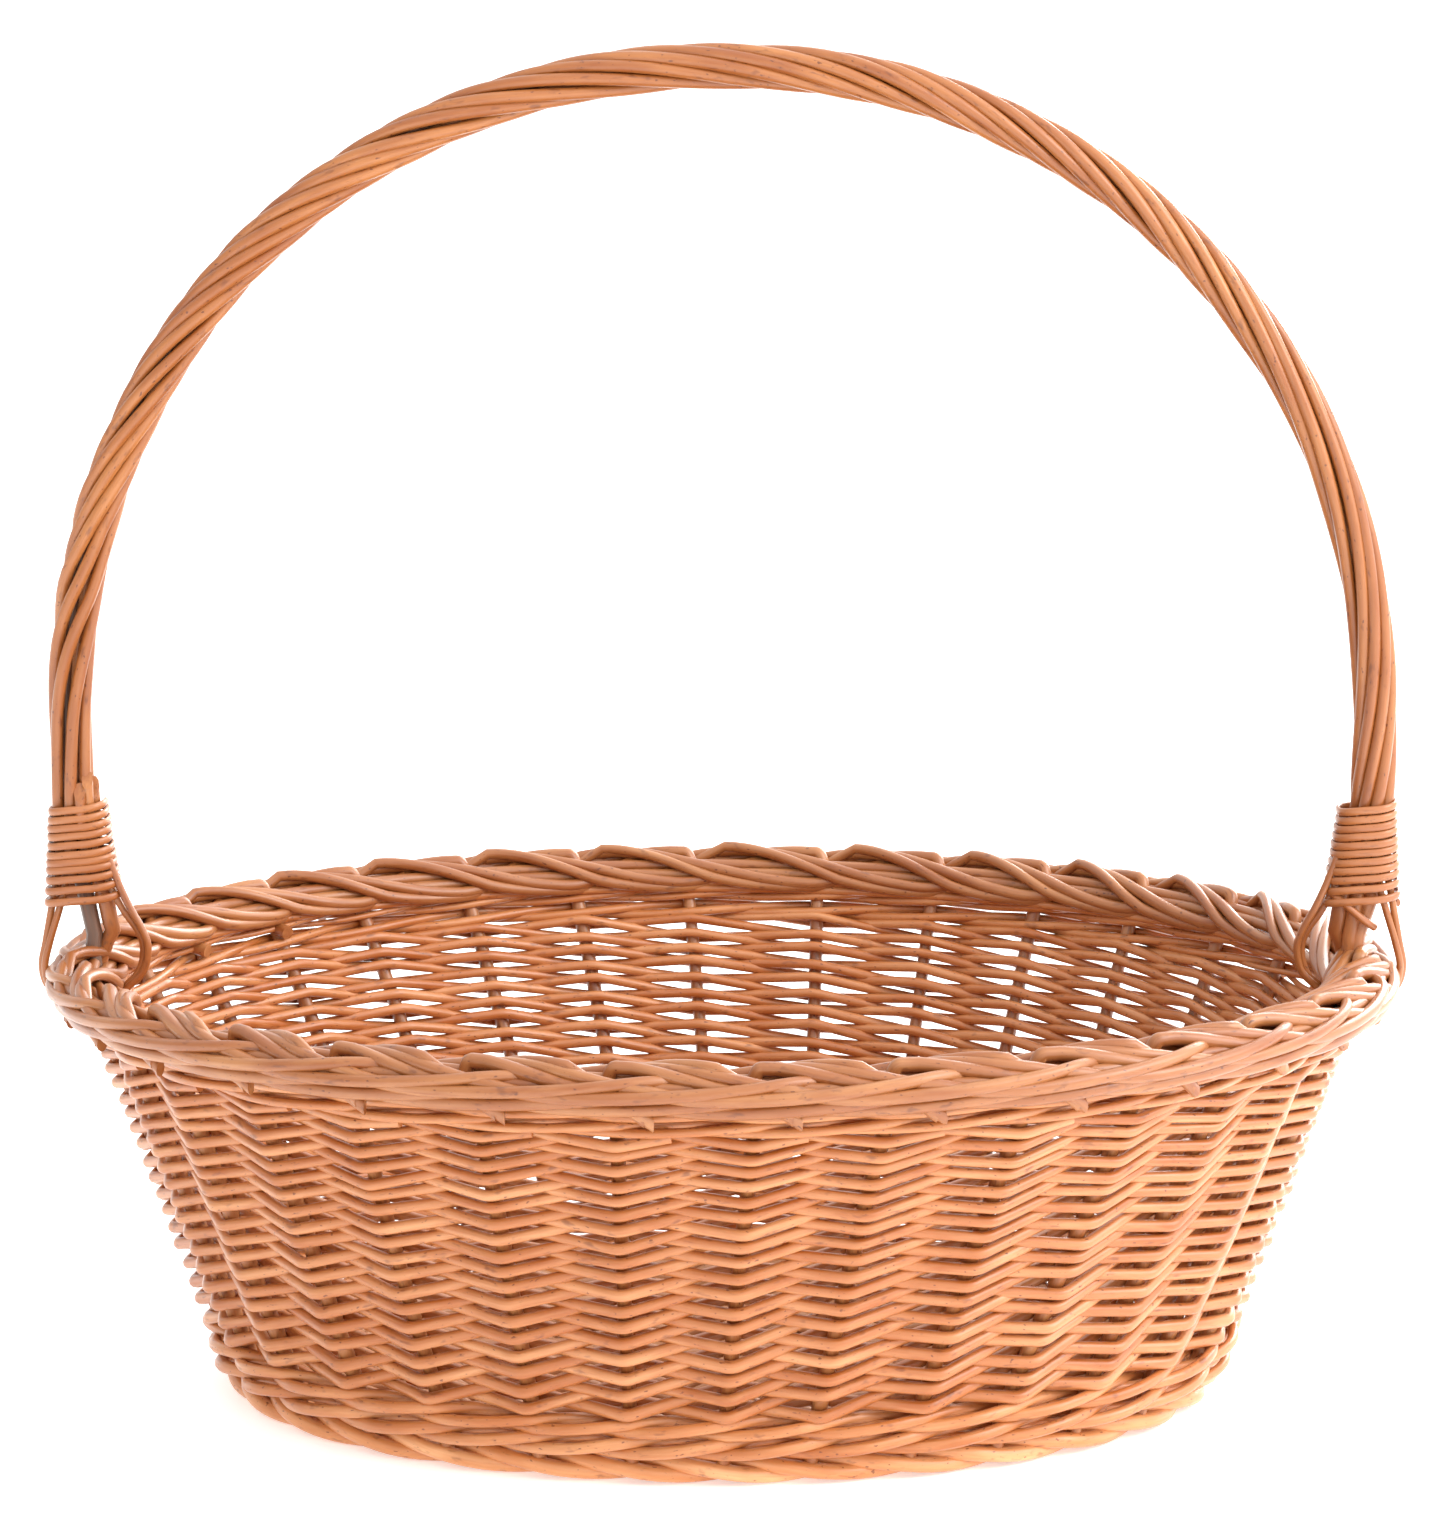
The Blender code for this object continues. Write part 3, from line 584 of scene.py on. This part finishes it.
def border_rod(stake):
    """A stake from the foot to its fold at the rim, and on through the plait to its cut end."""
    share = np.arange(0.13, 10.72, 0.07)
    lane = np.interp(share, *OWN_LANE)
    plait = border_place(stake, share, lane + drift(len(share), 0.05, 6))
    tail = beside_wall(stake_angle(stake + TAIL_LINE[:, 0], BORDER_MIDDLE),
                       TAIL_LINE[:, 2] + rng.uniform(-0.0005, 0.0005), TAIL_LINE[:, 1])
    heights = np.linspace(STAKE_BOTTOM, STAKE_TOP, 12)
    standing = across_wall(stake_angle(stake, heights), heights, drift(len(heights), 0.0002))
    fold = [beside_wall(stake_angle(stake + past, BORDER_MIDDLE), height, out) for past, out, height in FOLD]
    corner = bent([standing[-1], *fold, plait[0]], (0, 0.003, 0.0014, 0))
    line = np.concatenate([standing[:-1], corner, plait[1:], tail])
    along = lengths(line)
    bend = lengths(standing)[-1] + 0.016       # where the rod has left the wall and lies in the plait
    radius = np.interp(along, (0, bend - 0.012, bend, along[-1]),
                       (STAKE_RADIUS, STAKE_RADIUS, BORDER_RADIUS, BORDER_TIP_RADIUS))
    tint = np.where(along < bend, 0.0, rng.random())
    return rod(line, radius * rng.uniform(0.93, 1.05), slant=CUT_SLOPE, tint=tint)


def cut_stub(stake):
    """The short end of a second rod that comes out beside the first one, below the border."""
    index = stake + STUB_LINE[:, 0] + rng.uniform(-0.02, 0.02)
    height = STUB_LINE[:, 2] + (0.0, 0.0, rng.uniform(-0.0006, 0.0006))
    line = beside_wall(stake_angle(index, BORDER_MIDDLE), height, STUB_LINE[:, 1])
    return rod(line, 0.0021, slant=CUT_SLOPE)


def inner_end(angle):
    """The cut end of a rod that pokes through the wall under the border, inside the basket."""
    angle = math.radians(angle)
    return rod([beside_wall(angle, 0.1335, 0.0010), beside_wall(angle, 0.1322, -0.0082)], 0.0024, tint=0.0)


def lying_rod(out, height):
    """A rod that lies inside the plait, all round."""
    places = np.arange(0, STAKE_COUNT * 4 + 1) / 4
    heights = height + drift(len(places), 0.0003, 9)
    outs = out + drift(len(places), 0.0004, 9)
    return rod(beside_wall(stake_angle(places, BORDER_MIDDLE), heights, outs), 0.0021)


def make_border():
    for group, nodes in enumerate((["border_outer_roll"], ["border_inner_roll"], [])):
        stakes = list(range(group, STAKE_COUNT, 3))
        rods = [border_rod(stake) for stake in stakes] + [cut_stub(stake) for stake in stakes]
        rods += [inner_end(angle) for angle in INNER_ENDS[group]]
        rods += [lying_rod(out, height) for out, height in LYING_RODS[group]]
        names = [f"side_stake_{stake + 1:02d}" for stake in stakes]
        make_rods(f"stakes_and_plait_{group + 1}", rods, BORDER, names + nodes)


def make_foot():
    rods = []
    for strand in range(3):
        places = np.arange(0, STAKE_COUNT * 8 + 9) / 8
        phase = 2 * math.pi * (places - strand) / 3
        height = FOOT_ROD_HEIGHT - FOOT_ROD_RISE * np.sin(phase)
        out = FOOT_ROD_OUT + FOOT_ROD_SWING * np.cos(phase)
        line = beside_wall(stake_angle(places, height), height, out)
        swell = 1 + 0.06 * np.cos(phase)
        rods.append(rod(line, FOOT_ROD_RADIUS * swell))
    # The foot rods take the willow painted lighter for light bounced up from the floor.
    make_rods("foot_border_rods", rods, FOOT_PAINTED_BOUNCE, ["foot_border"], sides=12)


# ---------------------------------------------------------------- base
LONG_STICKS, LONG_STICK_GAP = 5, 0.0052
CROSS_STICKS, CROSS_STICK_GAP = 9, 0.0235
BASE_RINGS = 22
FIRST_RING_A, FIRST_RING_B = 0.112, 0.0165
STICK_PAST_EDGE = 0.004
BASE_WAVE = 0.0040                 # how far a ring goes over and under the middle of the sticks


def make_base():
    """Cross sticks, pierced by the long ones, and rings of weaving round them."""
    sticks = []
    long_ys = (np.arange(LONG_STICKS) - LONG_STICKS // 2) * LONG_STICK_GAP
    for y in long_ys:
        reach = BASE_A * math.sqrt(1 - (y / BASE_B) ** 2) + STICK_PAST_EDGE
        line = np.stack([np.linspace(-reach, reach, 20), y + drift(20, 0.0003), np.full(20, BASE_MIDDLE)], -1)
        sticks.append(rod(line, 0.0024))
    cross_xs = (np.arange(CROSS_STICKS) - CROSS_STICKS // 2) * CROSS_STICK_GAP
    for x in cross_xs:
        reach = BASE_B * math.sqrt(1 - (x / BASE_A) ** 2) + STICK_PAST_EDGE
        ys = np.linspace(-reach, reach, 21)
        swell = 1 + 0.35 * np.exp(-(ys / 0.018) ** 2)
        line = np.stack([x + drift(21, 0.0004), ys, np.full(21, BASE_MIDDLE)], -1)
        sticks.append(rod(line, 0.0029 * swell))
    make_rods("base_sticks", sticks, BASE,
              [f"base_cross_stick_{n}" for n in (1, 2, 3)] + [f"base_long_stick_{n}" for n in (1, 2)])

    def crossings(a, b):
        """The angles at which a ring crosses the sticks."""
        angles = []
        for x in cross_xs:
            if abs(x) < a * 0.985:
                angles += [math.acos(x / a), 2 * math.pi - math.acos(x / a)]
        for y in long_ys[::2]:
            angle = math.asin(y / b)
            angles += [angle % (2 * math.pi), math.pi - angle]
        return sorted(angles)

    for group in range(3):
        rods = []
        for ring in range(group, BASE_RINGS, 3):
            share = (ring + 0.5) / BASE_RINGS
            a = FIRST_RING_A + (BASE_A - FIRST_RING_A) * share
            b = FIRST_RING_B + (BASE_B - FIRST_RING_B) * share
            angles = crossings(a, b)
            side = 1 if ring % 2 else -1
            angles.append(angles[0] + 2 * math.pi)
            fine = np.concatenate([np.linspace(low, high, 9)[:-1] for low, high in zip(angles, angles[1:])])
            over = side * np.cos(math.pi * np.arange(len(fine)) / 8)
            line = np.stack([a * np.cos(fine), b * np.sin(fine), BASE_MIDDLE + BASE_WAVE * over], -1)
            rods.append(rod(np.concatenate([line, line[:1]]), 0.00165 * rng.uniform(0.94, 1.05)))
        make_rods(f"base_weavers_{group + 1}", rods, BASE, [f"base_weave_{group + 1}"],
                  sides=8)


# ---------------------------------------------------------------- handle
def leg_x(height):
    """Half the distance between the legs, below the widest place of the bow."""
    height = np.asarray(height, float)
    rim = wall_axes(RIM_HEIGHT)[0]
    share = (HANDLE_WIDEST_AT - height) / (HANDLE_WIDEST_AT - RIM_HEIGHT)
    return np.where(height <= RIM_HEIGHT, wall_axes(height)[0], HANDLE_A - (HANDLE_A - rim) * share ** 2)


def bow_line(lowest, step=0.004):
    """Evenly spaced points of the handle's middle line, from the left foot over the top to the right."""
    heights = np.linspace(lowest, HANDLE_WIDEST_AT, 30)[:-1]
    leg = np.stack([-leg_x(heights), 0 * heights, heights], -1)
    turn = np.linspace(0, math.pi / 2, 120)
    quarter = np.stack([-HANDLE_A * np.cos(turn) ** (2 / HANDLE_FULLNESS), 0 * turn,
                        HANDLE_WIDEST_AT + HANDLE_C * np.sin(turn) ** (2 / HANDLE_FULLNESS)], -1)
    left = np.concatenate([leg, quarter])
    whole = np.concatenate([left, left[-2::-1] * (-1, 1, 1)])
    along = lengths(whole)
    even = np.linspace(0, along[-1], round(along[-1] / step))
    return np.stack([np.interp(even, along, whole[:, axis]) for axis in range(3)], -1), even


def bow_outward(line):
    """The direction out of the bow, in its plane, at each point."""
    return unit(np.cross(unit(np.gradient(line, axis=0)), ACROSS))


def round_bow(line, outward, radius, turn):
    """Points round the middle line of the bow."""
    return line + (outward * np.cos(turn)[:, None] + ACROSS * np.sin(turn)[:, None]) * radius[:, None]


ROPE_RADIUS = 0.00535              # from the middle of the bow to the middle of a roping rod
WINDING_RADIUS = 0.0054            # at which the slopes below hold
# shares of the bow from left to right, and the slope of the roping there, in degrees
ROPING_SLOPE = ((0, 0.06, 0.12, 0.30, 0.50, 0.62, 0.72, 0.80, 0.90, 1.0),
                (2, 3, 13, 15, 10, 15, 14, 5, 6, 12))
ROPING_ENDS = ((0.2035, 0.3), (0.2060, 0.75), (0.2020, 1.15))      # (height, turn) of the cut ends
ROPING_ENDS_FROM = 0.19
# for each core rod: how far it lies outwards from the middle of a leg at the border, under the lashing and in
# the bow, for the left leg and for the right one; and its place across, in the wall
CORE_PLACES = (((-0.0040, -0.0022, 0.0015), (-0.0017, 0.0018, 0.0015), -0.0026),
               ((-0.0100, -0.0085, -0.0015), (-0.0088, -0.0078, -0.0015), 0.0026))
THIRD_CORE = ((0.2080, -0.0012, 0.130), (0.2085, -0.0016, 0.152), (0.2108, -0.0016, 0.168),
              (0.2120, 0.0, 0.186))


def make_roping():
    """Thin rods wound round the bow, and three cut ends on the left leg."""
    line, even = bow_line(LASHING_BOTTOM + 0.006)
    outward = bow_outward(line)
    share = even / even[-1]
    slope = np.interp(share, ROPING_SLOPE[0], np.radians(ROPING_SLOPE[1]))
    winding = -np.concatenate([[0], np.cumsum(np.tan(slope[:-1]) / WINDING_RADIUS * np.diff(even))])
    rods = []
    for number in range(ROPING_RODS):
        begin = 2 * math.pi * number / ROPING_RODS + 0.3
        turn = begin + winding + drift(len(line), 0.07, 7)
        turn = turn + np.interp(share, (0.0, 0.03, 0.12, 0.15), (0.0, 0.5, 0.5, 0.0)) * np.sin(turn + 1.2)
        radius = ROPE_RADIUS + drift(len(line), 0.00022, 9)
        thick = ROPING_RADIUS * (1 + drift(len(line), 0.03, 3)) * rng.uniform(0.94, 1.04)
        rods.append(rod(round_bow(line, outward, radius, turn), thick))
    for height, turned in ROPING_ENDS:
        turn = math.pi + turned
        foot = np.array((-leg_x(ROPING_ENDS_FROM), 0.0, ROPING_ENDS_FROM))
        tip = np.array((-leg_x(height), 0.0, height))
        side = np.array((-math.cos(turn), math.sin(turn), 0.0))
        rods.append(rod([foot + side * 0.0072, (foot + tip) / 2 + side * 0.0078, tip + side * 0.0076],
                        0.0019, slant=1.6, tint=0.0))
    for group in range(3):
        make_rods(f"roping_rods_{group + 1}", rods[group::3], ROPING,
                  [f"handle_roping_{group + 1}"])


def make_core():
    """Thick rods through the bow and down into the wall, and the end of a third one on the right."""
    core, _ = bow_line(CORE_TAIL_HEIGHT)
    outward = bow_outward(core)
    left = core[:, 0] < 0
    for number, (*legs, y_low) in enumerate(CORE_PLACES):
        outs = [np.interp(core[:, 2], (0.139, 0.152, 0.166, 0.188), (0.0, *places)) for places in legs]
        out = np.where(left, *outs)
        y = np.interp(core[:, 2], (0.140, 0.156), (y_low, 0.0))
        thick = np.interp(core[:, 2], (0.130, 0.150, 0.168, 0.195), (0.0023, 0.0027, 0.0029, 0.0017))
        tint = np.where(left & (number == 0), 2.0, 0.3)
        rods = [rod(core + outward * out[:, None] + ACROSS * y[:, None], thick, tint=tint)]
        if number == 1:
            rods.append(rod(THIRD_CORE, 0.0025, tint=0.2))
        make_rods(f"core_rod_{number + 1}", rods, CORE, [f"handle_core_{number + 1}"])


LASHING_TURNS = 11
LASHING_HEIGHTS = ((0, 1, 2, 3, LASHING_TURNS), (0.1625, 0.1665, 0.1705, 0.1738, 0.1968))
LASHING_FULLNESS = 2.9             # 2 is an ellipse, and more is squarer


def lashing(side):
    """Split cane wound round a foot of the handle and the ends of its ties."""
    steps = np.linspace(0, LASHING_TURNS, LASHING_TURNS * 40 + 1)
    height = np.interp(steps, *LASHING_HEIGHTS)
    angle = 2 * math.pi * steps
    half_x = np.interp(height, (0.163, 0.170, LASHING_TOP), (0.0128, 0.0118, 0.0090))
    half_x = half_x + drift(len(steps), 0.00012, 9)
    half_y = np.interp(height, (0.163, LASHING_TOP), (0.0080, 0.0086))
    power = 2 / LASHING_FULLNESS
    cos, sin = np.cos(angle), np.sin(angle)
    x = side * (leg_x(height) - 0.0016) + half_x * np.sign(cos) * np.abs(cos) ** power
    y = half_y * np.sign(sin) * np.abs(sin) ** power
    tilt = 0.0008 * cos + drift(len(steps), 0.00018, 12)
    line = np.stack([x, y, height + tilt], -1)
    outward = unit(np.stack([half_y * cos, half_x * sin, 0 * cos], -1))
    return rod(line, 0.00132, press=outward)


# (metres from the middle for each of the two rods, height) of the ties, outside and inside the border
OUTER_TIE = ((0.2190, 0.2172, 0.180), (0.2212, 0.2178, 0.170), (0.2228, 0.2200, 0.162),
             (0.2249, 0.2234, 0.151), (0.2264, 0.2252, 0.142), (0.2235, 0.2225, 0.1345),
             (0.2150, 0.2140, 0.1320))
INNER_TIE = ((0.2060, 0.2035, 0.180), (0.2030, 0.1998, 0.170), (0.1992, 0.1962, 0.162),
             (0.1945, 0.1925, 0.155), (0.1925, 0.1908, 0.149), (0.1940, 0.1925, 0.141),
             (0.1995, 0.1985, 0.1350))
LOOSE_WRAP = ((0.2010, -0.0020, 0.1680), (0.2050, -0.0062, 0.1652), (0.2120, -0.0064, 0.1592),
              (0.2166, -0.0030, 0.1556))       # the last turn of the right lashing, which slants down


def tie(side, corners, which):
    """One of the two rods of a tie."""
    y = -0.0030 - 0.0016 * which
    return rod(flowing([(side * corner[which], y, corner[2]) for corner in corners]), 0.00125)


def make_feet():
    """The lashing and the ties of each foot of the handle."""
    for side, name in ((-1, "left"), (1, "right")):
        canes = [lashing(side)]
        rods = [tie(side, corners, which) for corners in (OUTER_TIE, INNER_TIE) for which in (0, 1)]
        if name == "right":
            canes.append(rod(flowing(LOOSE_WRAP), 0.0013))
        make_rods(f"lashing_{name}_cane", canes, CANE, [f"handle_lashing_{name}"], sides=12)
        make_rods(f"ties_{name}", rods, ROPING, [f"border_tie_{name}"])


make_wall()
make_border()
make_foot()
make_base()
make_roping()
make_core()
make_feet()


# ---------------------------------------------------------------- studio
CAMERA_PLACE = (0.0, -1.5644, 0.4948)
CAMERA_DOWN = 10.274               # degrees below level
LENS, SENSOR = 113.68, 36
LAMPS_AIM = Vector((0.0, 0.0, 0.15))
BRIGHT_SIDE = (-0.85, -0.05, -0.50)
SKY_LOW, SKY_HIGH = 0.45, 2.15     # brightness of the dark and of the bright side of the surroundings


def plain(name, colour, glow):
    """A dull material that shines a little by itself."""
    material = bpy.data.materials.new(name)
    material.use_nodes = True
    shader = material.node_tree.nodes["Principled BSDF"]
    shader.inputs["Base Color"].default_value = (*colour, 1.0)
    shader.inputs["Roughness"].default_value = 0.8
    shader.inputs["Emission Color"].default_value = (1, 1, 1, 1)
    shader.inputs["Emission Strength"].default_value = glow
    return material


def soft_light(name, place, size, power):
    light = bpy.data.lights.new(name, "AREA")
    light.shape = "DISK"
    light.size = size
    light.energy = power
    lamp = bpy.data.objects.new(name, light)
    bpy.context.collection.objects.link(lamp)
    lamp.location = place
    lamp.rotation_euler = (LAMPS_AIM - Vector(place)).to_track_quat("-Z", "Y").to_euler()


def make_studio():
    bpy.ops.mesh.primitive_plane_add(size=80.0, location=(0, 0, -0.0002))
    floor = bpy.context.object
    floor.name = "floor"
    floor.data.materials.append(plain("pale_floor", (0.95, 0.95, 0.95), 0.45))
    world = bpy.data.worlds.new("studio")
    bpy.context.scene.world = world
    world.use_nodes = True
    tree = world.node_tree
    back = tree.nodes["Background"]
    back.inputs["Color"].default_value = (1, 1, 1, 1)
    direction = add(tree, "ShaderNodeNewGeometry").outputs["Incoming"]
    towards = tree.nodes.new("ShaderNodeVectorMath")
    towards.operation = "DOT_PRODUCT"
    tree.links.new(direction, towards.inputs[0])
    towards.inputs[1].default_value = unit(BRIGHT_SIDE)
    strength = spread(tree, towards.outputs["Value"], -1.0, 1.0, SKY_LOW, SKY_HIGH)
    tree.links.new(strength, back.inputs["Strength"])
    soft_light("key", (1.5, -0.7, 1.2), 1.3, 24)
    soft_light("rim", (1.0, 1.5, 0.9), 1.2, 30)
    camera_data = bpy.data.cameras.new("camera")
    camera_data.lens = LENS
    camera_data.sensor_width = SENSOR
    camera = bpy.data.objects.new("camera", camera_data)
    bpy.context.collection.objects.link(camera)
    camera.location = CAMERA_PLACE
    camera.rotation_euler = (math.radians(90 - CAMERA_DOWN), 0, 0)
    bpy.context.scene.camera = camera
    bpy.context.scene.view_settings.view_transform = "Standard"


make_studio()
